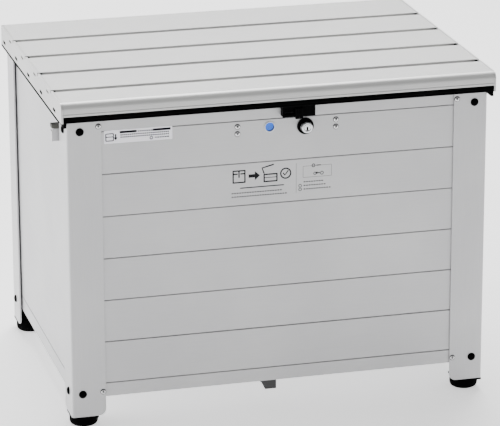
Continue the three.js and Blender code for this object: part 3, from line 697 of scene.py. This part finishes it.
CASE_SCREW_SPREAD = 0.0051
CASE_SCREW_INSET = 0.0065
CASE_SCREW_LIFT = 0.0007       # of a pair's middle above the lock
case_low, case_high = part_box("lock_case")
case_middle = LOCK_Z + CASE_SCREW_LIFT
case_screws = []
for x in (case_low.x + CASE_SCREW_INSET, case_high.x - CASE_SCREW_INSET):
    for lift in (-CASE_SCREW_SPREAD, CASE_SCREW_SPREAD):
        place = (x, WALL, case_middle + lift)
        case_screws.append(crossed(SCREW_RADIUS, SCREW_HEIGHT, place, (0, -1, 0), 0.2))
        cross_shadows.append(recess(SCREW_RADIUS, SCREW_HEIGHT, place, (0, -1, 0), 0.2))
        shadow_rings.append(shadow_ring(SCREW_RADIUS, place, (0, -1, 0)))
piece("lock_case_screws", together(case_screws), screw_finish, "box")
piece("screw_recess_shadows", together(cross_shadows), shadow_black_finish, "box")
# dark rings in the black rubber finish: painted shadow under the screw heads
piece("screw_shadow_rings", together(shadow_rings), rubber_finish, "box")

rivets = []
for side, _ in SIDES:
    leaf_low, leaf_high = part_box(f"hinge_lower_leaf_{side}")
    middle = (leaf_low.x + leaf_high.x) / 2
    for shift in (-RIVET_PITCH, 0, RIVET_PITCH):
        place = (middle + shift, leaf_low.y + LEAF_THICK, leaf_low.z + RIVET_RISE)
        rivets.append(turned(dome(RIVET_RADIUS, RIVET_HEIGHT, 2.0, 6), place, (0, 1, 0), 28))
piece("hinge_rivets", together(rivets), screw_finish, "box")


# ------------------------------------------------------------------ lid

def plank_loops(node, is_nose):
    """Outer and inner outlines of a hollow plank, in y and z.

    The top between the rounded edges is reeded: its height is a row of shallow cosine
    waves. Behind the plank lies the floor of the groove, except on the last one."""
    lower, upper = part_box(node)
    front, top, bottom = lower.y, upper.z, lower.z
    has_groove = node != "lid_plank_5"
    body = upper.y + FIT - PLANK_GROOVE if has_groove else upper.y
    radius = NOSE_RADIUS if is_nose else PLANK_EDGE_RADIUS
    face = front + NOSE_LIP if is_nose else front
    outline = [(front, bottom), (body, bottom)]
    if has_groove:
        ledge = top - PLANK_GROOVE_DEPTH
        outline += [(body, ledge - PLANK_WALL), (upper.y, ledge - PLANK_WALL),
                    (upper.y, ledge), (body, ledge)]
    rear_corner = arc((body - PLANK_REAR_RADIUS, top - PLANK_REAR_RADIUS),
                      PLANK_REAR_RADIUS, 0, 90, 5)
    reed_start = body - PLANK_REAR_RADIUS - REED_MARGINS[0]
    reed_end = face + radius + REED_MARGINS[1]
    count = int((reed_start - reed_end) / REED_PITCH)
    along = np.linspace(0, count, 6 * count + 1)
    wave = top - REED_DEPTH * (0.5 - 0.5 * np.cos(2 * math.pi * along))
    reeds = np.stack([reed_start + (reed_end - reed_start) * along / count, wave], 1)
    front_corner = arc((face + radius, top - radius), radius, 90, 180, 10)
    wall = PLANK_WALL
    if is_nose:
        lip = [(face, bottom + NOSE_LIP_HEIGHT + NOSE_LIP), (front, bottom + NOSE_LIP_HEIGHT)]
    else:
        ledge_low = top - PLANK_GROOVE_DEPTH - wall
        lip = [(front, top - PLANK_LIP), (front + PLANK_UNDERCUT, top - PLANK_LIP - wall),
               (front + PLANK_UNDERCUT, ledge_low), (front, ledge_low)]
    outer = np.concatenate([outline, rear_corner, reeds, front_corner, lip])
    inner = rounded_box(face + PLANK_UNDERCUT + wall, body - wall, bottom + wall,
                        top - PLANK_LIP - 2 * wall, PLANK_HOLLOW_RADIUS)
    if is_nose:
        bend = arc((face + radius, top - radius), radius - wall, 180, 90, 8)
        rest = [(body - wall, top - wall), (body - wall, bottom + wall), (face + wall, bottom + wall)]
        inner = np.concatenate([bend, rest])
    return [outer, inner]


for number in range(1, 6):
    node = f"lid_plank_{number}"
    lower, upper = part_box(node)
    loops = plank_loops(node, number == 1)
    piece(f"lid_plank_{number}_reeded", extruded(loops, lower.x, upper.x, "x"), plank_finish,
          "lid", stands_for=(node,))

# End caps with a row of dark slots below the planks and thinner ones by the grooves; dark blocks in
# the slots paint the shade inside them
SLOT_LENGTH, SLOT_HEIGHT = 0.0180, 0.0048
SLOT_RISE = 0.0066             # above the cap's lower edge
SLOT_AHEAD = 0.0248            # ahead of a plank's rear edge
DASH_LENGTH, DASH_HEIGHT = 0.0170, 0.0032
DASH_DROP = 0.0074             # below the cap's top
DASH_BEHIND = 0.0203           # behind a groove
NOTCH_WIDTH, NOTCH_DEPTH = 0.0046, 0.0040
CAP_CORNER = 0.002
SHADOW_BLOCK_SINK = 0.0002
SHADOW_BLOCK_LENGTH = 0.0035
SHADOW_BLOCK_DROP = 0.0008             # below the planks' tops


def oval(y, z, length, height):
    """A slot with round ends, lying along y."""
    radius = height / 2
    reach = length / 2 - radius
    return np.concatenate([arc((y + reach, z), radius, -90, 90, 6),
                           arc((y - reach, z), radius, 90, 270, 6)])


def make_end_cap(side, right):
    node = f"lid_end_cap_{side}"
    lower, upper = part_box(node)
    nose = arc((lower.y + NOSE_RADIUS, upper.z - NOSE_RADIUS), NOSE_RADIUS, 90, 180, 10)
    rear = arc((upper.y - CAP_CORNER, upper.z - CAP_CORNER), CAP_CORNER, 0, 90, 4)
    plank_ends = [high(f"lid_plank_{number}").y for number in range(1, 6)]
    notches = [(y + dy, upper.z - dz) for y in plank_ends[-2::-1]
               for dy, dz in ((0, 0), (0, NOTCH_DEPTH), (-NOTCH_WIDTH, NOTCH_DEPTH),
                              (-NOTCH_WIDTH, 0))]
    outline = np.concatenate([[(lower.y, lower.z), (upper.y, lower.z)], rear, notches, nose])
    slots = [oval(y - SLOT_AHEAD, lower.z + SLOT_RISE, SLOT_LENGTH, SLOT_HEIGHT)
             for y in plank_ends]
    dashes = [oval(y + DASH_BEHIND, upper.z - DASH_DROP, DASH_LENGTH, DASH_HEIGHT)
              for y in plank_ends[:-1]]
    shape = extruded([outline, *slots, *dashes], lower.x, upper.x, "x")
    piece(f"lid_end_cap_{side}_slotted", shape, cap_finish, "lid",
          stands_for=(node,))
    outer = upper.x if right > 0 else lower.x
    inner = lower.x if right > 0 else upper.x
    # lower slots get flat black blocks and the dashes dark grey ones: painted shade inside the slots
    for name, holes, finish, slot in (("shadow_blocks", slots, shadow_black_finish, "black_plastic"),
                                      ("dash_shades", dashes, shade_grey_finish, "black_rubber")):
        solids = [extruded([hole], outer - right * SHADOW_BLOCK_SINK, inner, "x") for hole in holes]
        piece(f"end_cap_{name}_{side}", together(solids), finish, "lid")


for side, right in SIDES:
    make_end_cap(side, right)

# Dark blocks close both ends of every groove: painted shade deep in the groove ends
for side, right in SIDES:
    shadow_blocks = []
    for number in range(1, 5):
        lower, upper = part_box(f"lid_plank_{number}")
        outer = upper.x if right > 0 else lower.x
        front, back = upper.y + 2 * FIT - PLANK_GROOVE, upper.y
        floor, top = upper.z - PLANK_GROOVE_DEPTH + FIT, upper.z - SHADOW_BLOCK_DROP
        outline = [(front, floor), (back, floor), (back, top), (front, top)]
        shadow_blocks.append(extruded([outline], outer, outer - right * SHADOW_BLOCK_LENGTH, "x"))
    piece(f"groove_end_shadows_{side}", together(shadow_blocks), shadow_black_finish, "lid", 0.0003)

# Black front strip: a ribbed face, a web under the nose and a drooping tail at each end
strip_low, strip_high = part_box("lid_front_strip")
STRIP_WALL = 0.0024
STRIP_EDGE = 0.0008            # flat above and below the flutes
STRIP_TOE = 0.0006             # lean of the lower edge
RIB_DEPTH = 0.0005
RIB_PHASE = 0.6                # shifts the flutes downward
LIP_HEIGHT = 0.0040            # edge of a side seal seen below an end cap
TAIL_INSET = 0.0004            # behind the strip's face
TAIL_RADIUS = 0.0012


def strip_outline():
    """The strip's face has two shallow round-bottomed flutes along it.

    Their depth is the positive half of a sine wave with two periods down the face."""
    fall = np.linspace(0, 1, 25)
    flutes = RIB_DEPTH * np.clip(np.sin(2 * 2 * math.pi * fall - RIB_PHASE), 0, 1)
    height = strip_high.z - STRIP_EDGE - fall * (strip_high.z - strip_low.z - 2 * STRIP_EDGE)
    face = np.stack([strip_low.y + flutes, height], 1)
    inner_y = strip_low.y + STRIP_WALL
    under = strip_high.z - STRIP_WALL
    return np.concatenate([
        [(strip_low.y + STRIP_EDGE, strip_high.z)], face, [(strip_low.y + STRIP_TOE, strip_low.z)],
        [(inner_y, strip_low.z), (inner_y, under), (strip_high.y, under),
         (strip_high.y, strip_high.z)]])


piece("lid_front_strip_fluted", extruded([strip_outline()], strip_low.x, strip_high.x, "x"),
      black_finish, "lid", 0.0003, ("lid_front_strip",))
for side, right in SIDES:
    seal_low, seal_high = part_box(f"lid_side_seal_{side}")
    tail = extruded([rounded_box(seal_low.x, seal_high.x, strip_low.y + TAIL_INSET,
                                 seal_low.y - FIT, TAIL_RADIUS)],
                    seal_low.z, strip_low.z - FIT, "z")
    piece(f"strip_tail_{side}", tail, rubber_finish, "lid", 0.0004)
    cap_low, cap_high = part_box(f"lid_end_cap_{side}")
    lip_x = (cap_low.x, seal_low.x) if right < 0 else (seal_high.x, cap_high.x)
    lip = extruded([rounded_box(*lip_x, cap_low.z - LIP_HEIGHT, cap_low.z - FIT, EDGE)],
                   strip_high.y, cap_high.y, "y")
    # the lip is the side seal's edge in the flat painted-shadow black, so it also paints the shade
    # under the end cap
    piece(f"seal_lip_{side}", lip, shadow_black_finish, "lid")

# ------------------------------------------------------------------ lock

barrel_low, barrel_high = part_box("lock_barrel")
plunger_low, plunger_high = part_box("lock_plunger")
plug_low, plug_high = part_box("lock_key_plug")
BEZEL_RADIUS = (barrel_high.x - barrel_low.x) / 2
PLUNGER_RADIUS = (plunger_high.x - plunger_low.x) / 2
PLUG_RADIUS = (plug_high.x - plug_low.x) / 2
BARREL_RADIUS = PLUNGER_RADIUS + 0.0015
BORE = PLUNGER_RADIUS + FIT
BEZEL_THICK = WALL - FIT - barrel_low.y
BEZEL_EDGE = 0.0011
MOUTH_EDGE = 0.0008
BARREL_END = 0.002
BOLT_BORE = (high("lock_bolt").x - low("lock_bolt").x) / 2 + FIT
PLUNGER_EDGE = 0.0014
NECK = 0.0048, 0.0059          # start and end of the turned neck of the plunger
KEY_CHAMFER = 0.0004
TURNED_DEPTH = 0.0003          # of the fine grooves that are turned into both faces


def outward(profile, lock_y):
    """Profile points (radius, y) of a part that is turned about the lock's line."""
    return turned(profile, (LOCK_X, lock_y, LOCK_Z), (0, 1, 0), 72)


def face_groove(radius, width):
    """A fine groove with straight sides round a turned part's face."""
    return [(radius, 0.0), (radius + width / 2, TURNED_DEPTH), (radius + width, 0.0)]


rim = arc((BEZEL_RADIUS - BEZEL_EDGE, BEZEL_EDGE), BEZEL_EDGE, -90, 0, 5)
barrel_length = barrel_high.y - barrel_low.y
mouth = arc((BORE + MOUTH_EDGE, MOUTH_EDGE), MOUTH_EDGE, 180, 270, 4)
piece("lock_barrel_turned", outward(np.concatenate([
    mouth, face_groove(BORE + 0.0018, 0.0006),
    rim, [(BEZEL_RADIUS, BEZEL_THICK), (BARREL_RADIUS, BEZEL_THICK),
          (BARREL_RADIUS, barrel_length), (BOLT_BORE, barrel_length),
          (BOLT_BORE, barrel_length - BARREL_END), (BORE, barrel_length - BARREL_END)]]),
    barrel_low.y), black_finish, "box", 0.0, ("lock_barrel",))

plunger_length = plunger_high.y - plunger_low.y
bore = PLUG_RADIUS + FIT
plug_depth = plug_high.y - plunger_low.y
crown = arc((PLUNGER_RADIUS - PLUNGER_EDGE, PLUNGER_EDGE), PLUNGER_EDGE, -90, 0, 6)
neck_radius = PLUNGER_RADIUS - TURNED_DEPTH
piece("lock_plunger_turned", outward(np.concatenate([
    [(bore, KEY_CHAMFER), (bore + KEY_CHAMFER, 0.0)], face_groove(bore + 0.0009, 0.0004),
    crown, [(PLUNGER_RADIUS, NECK[0]), (neck_radius, NECK[0] + TURNED_DEPTH),
            (neck_radius, NECK[1] - TURNED_DEPTH), (PLUNGER_RADIUS, NECK[1]),
            (PLUNGER_RADIUS, plunger_length), (0, plunger_length),
            (0, plug_depth + FIT), (bore, plug_depth + FIT)]]),
    plunger_low.y), chrome_finish, "push_lock", 0.0, ("lock_plunger",))

eased("lock_bolt", steel_finish, 0.0008)
eased("lock_key_plug", chrome_finish, 0.0002)
KEYWAY_HALF, KEYWAY_BELOW, KEYWAY_ABOVE = 0.00115, 0.0039, 0.0015
KEYWAY_SINK, KEYWAY_DEPTH = 0.0008, 0.0094
# a black block fills the keyway just behind the plug's face: painted shade deep in the slot
keyway_shadow = extruded([rounded_box(LOCK_X - KEYWAY_HALF, LOCK_X + KEYWAY_HALF,
                               LOCK_Z - KEYWAY_BELOW, LOCK_Z + KEYWAY_ABOVE, 0.0006)],
                  plug_low.y + KEYWAY_SINK, plug_low.y + KEYWAY_DEPTH, "y")
piece("keyway_shadow_block", keyway_shadow, black_finish, "key_plug")

# ------------------------------------------------------------------ indicator

window_low, window_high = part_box("indicator_window")
RIM_RADIUS = (window_high.x - window_low.x) / 2
RIM_EDGE = 0.0003
RIM_THICK = 0.0011
LENS_SIGHT = RIM_RADIUS - 0.0015
LENS_CROWN = 0.0009
SLEEVE = 0.0012, 0.0060        # start and end of the dark blue tube behind the rim, painted shade on the window's inner wall
lens_depth = window_high.y - window_low.y


def round_window(profile):
    """Profile points (radius, depth) of a part that is turned about the window's line."""
    return turned(profile, (WINDOW_X, window_low.y, WINDOW_Z), (0, 1, 0), 64)


# The lens falls back from its middle with the 2.2nd power of the distance
share = np.linspace(0, 1, 9)
lens_front = np.stack([share * LENS_SIGHT, LENS_CROWN * share ** 2.2], 1)
lens = round_window(np.concatenate([lens_front, [(LENS_SIGHT, lens_depth), (0, lens_depth)]]))
piece("indicator_window_lens", lens, lens_finish, "box", 0.0,
      ("indicator_window",))
inner = LENS_SIGHT + 0.0001
ring_rim = arc((RIM_RADIUS - RIM_EDGE, RIM_EDGE + 0.0001), RIM_EDGE, -90, 0, 4)
ring_front = [(inner, 0.0004), (inner + 0.0002, 0.0001)]
ring_back = [(RIM_RADIUS, RIM_THICK), (inner, RIM_THICK)]
piece("window_ring", round_window(np.concatenate([ring_front, ring_rim, ring_back])),
      ring_finish, "box")
outer = inner + 0.0003
sleeve = round_window([(inner, SLEEVE[0]), (outer, SLEEVE[0]), (outer, SLEEVE[1]),
                       (inner, SLEEVE[1])])
piece("window_sleeve", sleeve, sleeve_shade_finish, "box")

FLAG_BORDER = 0.0082           # right of the window's middle, half the travel and a little
FLAG_HALF = 0.0083             # half the height of a coloured half
eased("indicator_flag", signal_flag("signal_flag", WINDOW_X + FLAG_BORDER,
                                    WINDOW_Z + FLAG_HALF), 0.0003)

# Thumb piece: the block in the pocket has upright ribs on its face, the stem is plain
thumb_low, thumb_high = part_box("thumb_slide")
housing_low = low("latch_housing")
POCKET_DEPTH = 0.0055
HOUSING_LIP = 0.003
STEM_HALF = 0.0038
STEM_HEIGHT = 0.005
STEM_ROOT = 0.0005             # how far the stem reaches into the block
BLOCK_PROUD = 0.0009
STEM_DROP = 0.009              # from the top of the thumb piece to the stem's lower face
THUMB_EDGE = 0.0006
RIB_HEIGHT = 0.0009
RIBS = 4
block_back = housing_low.y + POCKET_DEPTH - FIT


def ribbed_plate():
    """The front plate's outline in x and y, its front edge a row of rounded ribs.

    The ribs are a raised cosine wave whose power under one makes their crests broad."""
    left, right = thumb_low.x, thumb_high.x
    share = np.linspace(0, 1, 41)
    ribs = RIB_HEIGHT * (0.5 - 0.5 * np.cos(share * 2 * math.pi * RIBS)) ** 0.6
    face = np.stack([left + THUMB_EDGE + share * (right - left - 2 * THUMB_EDGE),
                     thumb_low.y + RIB_HEIGHT - ribs], 1)
    shoulder = thumb_low.y + RIB_HEIGHT + 0.0005
    return np.concatenate([[(left, shoulder)], face,
                           [(right, shoulder), (right, housing_low.y - FIT),
                            (left, housing_low.y - FIT)]])


thumb_middle = (thumb_low.x + thumb_high.x) / 2
stem_low = thumb_high.z - STEM_DROP
stem = extruded([rounded_box(thumb_middle - STEM_HALF, thumb_middle + STEM_HALF,
                             stem_low, stem_low + STEM_HEIGHT, THUMB_EDGE)],
                block_back - STEM_ROOT, thumb_high.y, "y")
plate = extruded([ribbed_plate()], thumb_low.z, thumb_high.z, "z")
block = extruded([rounded_box(thumb_low.x, thumb_high.x, housing_low.z + HOUSING_LIP + FIT,
                              thumb_high.z, 0.0005)],
                 housing_low.y - BLOCK_PROUD, block_back, "y")
piece("thumb_slide_ribbed", together([plate, block, stem]), black_finish, "indicator",
      0.0003, ("thumb_slide",))


# ------------------------------------------------------------------ printed signs

def frame_of(x0, x1, z0, z1, line, radius=0.0008):
    """A rectangular line."""
    return [rounded_box(x0, x1, z0, z1, radius),
            rounded_box(x0 + line, x1 - line, z0 + line, z1 - line, max(radius - line, 0.0001))]


def bar(x0, x1, z0, z1):
    return [np.array([(x0, z0), (x1, z0), (x1, z1), (x0, z1)])]


def arrow(x, z, length, width, direction):
    """A block arrow whose tip is length ahead of its tail along a direction in x and z."""
    head = 0.45 * length
    shape = np.array([(0, -0.18), (length - head, -0.18), (length - head, -0.5), (length, 0),
                      (length - head, 0.5), (length - head, 0.18), (0, 0.18)])
    shape = shape * [1, width]
    turn = np.array([[direction[0], direction[1]], [-direction[1], direction[0]]])
    return [shape @ turn + (x, z)]


def parcel(x, z, size, line):
    """A square box with a strip of tape down its middle."""
    half = size / 2
    return [frame_of(x - half, x + half, z, z + size, line),
            bar(x - half + line, x - line, z + 0.66 * size, z + 0.66 * size + line),
            bar(x + line, x + half - line, z + 0.66 * size, z + 0.66 * size + line),
            bar(x - line / 2, x + line / 2, z + 0.42 * size, z + size - line)]


def open_box(x, z, size, line):
    """A chest with its lid raised to the left."""
    half = size / 2
    lid = np.array([(-half, 0.62), (-half - 0.14 * size, 1.06), (-half + 0.72 * size, 1.28),
                    (-half + 0.75 * size, 1.28 - line / size), (-half - 0.05 * size, 1.0),
                    (-half + line, 0.62)])
    lid = np.stack([lid[:, 0] + x, z + lid[:, 1] * size], 1)
    return [frame_of(x - half, x + half, z, z + 0.6 * size, line),
            bar(x - half + line, x + half - line, z + 0.30 * size, z + 0.30 * size + line / 2),
            [lid]]


def ring(x, z, radius, line):
    """A circle of 36 straight steps, the last of which closes it."""
    return [arc((x, z), radius, 0, 350, 35), arc((x, z), radius - line, 0, 350, 35)]


def tick(x, z, size, line):
    """A check mark."""
    points = np.array([(-0.5, 0.05), (-0.15, -0.35), (0.5, 0.45), (0.5 - 0.7 * line / size, 0.60),
                       (-0.15, -0.12), (-0.5 + 0.7 * line / size, 0.24)])
    return [points * size + (x, z)]


def dashes(x0, x1, z, height, pitch, length):
    """A row of short bars, as a line of print."""
    return [bar(x, x + length, z, z + height) for x in np.arange(x0, x1, pitch)]


def printed(name, signs, face, finish):
    """Signs as thin inlays on a face of the body that looks toward the front."""
    shapes = [extruded(sign, face - SKIN, face + SKIN, "y") for sign in signs]
    return piece(name, together(shapes), finish, "box")


# White label by the left post, with a row of small signs
LABEL_WIDTH, LABEL_HEIGHT, LABEL_THICK = 0.094, 0.0182, 0.00025
LABEL_GAP = 0.0042             # from the left post's flange
LABEL_DROP = 0.0012            # below the top of the uppermost board
LABEL_RADIUS = 0.0012
LABEL_DASH_SHARE = 0.68
LABEL_DASH_HEIGHT = 0.0019
label_left = high("corner_post_front_left").x + LABEL_GAP
label_top = high("front_board_6").z - LABEL_DROP
label_right, label_bottom = label_left + LABEL_WIDTH, label_top - LABEL_HEIGHT
label = rounded_box(label_left, label_right, label_bottom, label_top, LABEL_RADIUS)
piece("label_plate", extruded([label], WALL - LABEL_THICK, WALL + LABEL_THICK, "y"),
      label_finish, "box")


def label_signs():
    """A closed box and an arrow, then a dark heading over dashed lines with a ring."""
    box_left, box_right = label_left + 0.0018, label_left + 0.0135
    heading_low, heading_high = label_top - 0.0050, label_top - 0.0018
    signs = [frame_of(box_left, box_right, label_bottom + 0.0030, label_top - 0.0040,
                      0.0013, 0.0014),
             bar(box_left, box_right, label_bottom + 0.0085, label_bottom + 0.0097),
             arrow(label_left + 0.0160, label_bottom + 0.0128, 0.0090, 0.0052, (0, -1)),
             bar(label_left + 0.0215, label_left + 0.0450, heading_low, heading_high),
             bar(label_left + 0.0670, label_right - 0.0022, heading_low, heading_high),
             ring(label_left + 0.0650, label_bottom + 0.0038, 0.0025, 0.0013)]
    lines = ((0.0465, 0.0660, 0.0046, 0.0030), (0.0225, 0.0900, 0.0082, 0.0026),
             (0.0225, 0.0900, 0.0114, 0.0026), (0.0700, 0.0900, 0.0152, 0.0034))
    for start, end, drop, pitch in lines:
        signs += dashes(label_left + start, label_left + end, label_top - drop,
                        LABEL_DASH_HEIGHT, pitch, LABEL_DASH_SHARE * pitch)
    return signs


printed("label_print", label_signs(), WALL - LABEL_THICK, ink_finish)

# Signs printed on the fifth board, left and right of a thin upright line
SIGN_RISE = 0.0175             # of the base line above the board's lower edge
SIGN_MIDDLE = 0.0230           # of the large signs above the base line
SIGN_LINE = 0.0019
SIGN_LEFT, SIGN_SPLIT, SIGN_RIGHT = -0.0680, 0.0232, 0.0740
FINE_LINE = 0.0004
PRINT_PITCH, PRINT_LENGTH = 0.0036, 0.0024


def parcel_signs(base):
    """A parcel goes into the open box and is safe: signs over a rule and two dashed lines."""
    tick_x = 0.0085
    signs = [*parcel(-0.0575, base + 0.0140, 0.0185, SIGN_LINE),
             arrow(-0.0440, base + SIGN_MIDDLE, 0.0160, 0.0130, (1, 0)),
             *open_box(-0.0130, base + 0.0125, 0.0200, SIGN_LINE),
             ring(tick_x, base + SIGN_MIDDLE, 0.0080, SIGN_LINE),
             tick(tick_x, base + SIGN_MIDDLE - 0.0005, 0.0085, 0.0017),
             bar(-0.0560, 0.0060, base + 0.0060, base + 0.0075)]
    for drop, width in ((0.0010, 0.0700), (0.0062, 0.0790)):
        signs += dashes(SIGN_LEFT, SIGN_LEFT + width, base - drop, 0.0017,
                        PRINT_PITCH, PRINT_LENGTH)
    return signs


def lock_signs(base):
    """A small drawing of the lock and its window over three dashed lines, two with rings."""
    lock_z, half = base + 0.0195, 0.0008
    signs = [bar(SIGN_SPLIT, SIGN_SPLIT + FINE_LINE, base - 0.0060, base + 0.0360),
             frame_of(0.0330, SIGN_RIGHT, base + 0.0145, base + 0.0310, FINE_LINE),
             ring(0.0480, base + 0.0310, 0.0026, 0.0011),
             bar(0.0520, 0.0585, base + 0.0303, base + 0.0317),
             ring(0.0600, lock_z, 0.0026, 0.0010),
             arrow(0.0570, lock_z + 0.0005, 0.0065, 0.0040, (-1, 0)),
             ring(0.0500, lock_z, 0.0022, 0.0009)]
    for row in range(3):
        line_z = base + 0.0085 - 0.0052 * row
        if row:
            signs.append(ring(0.0290, line_z, 0.0024, 0.0009))
        signs += dashes(0.0340, 0.0620 + 0.0040 * row, line_z - half, 2 * half,
                        PRINT_PITCH, PRINT_LENGTH)
    return signs


sign_base = low("front_board_5").z + SIGN_RISE
printed("board_print", parcel_signs(sign_base) + lock_signs(sign_base), WALL, grey_ink_finish)
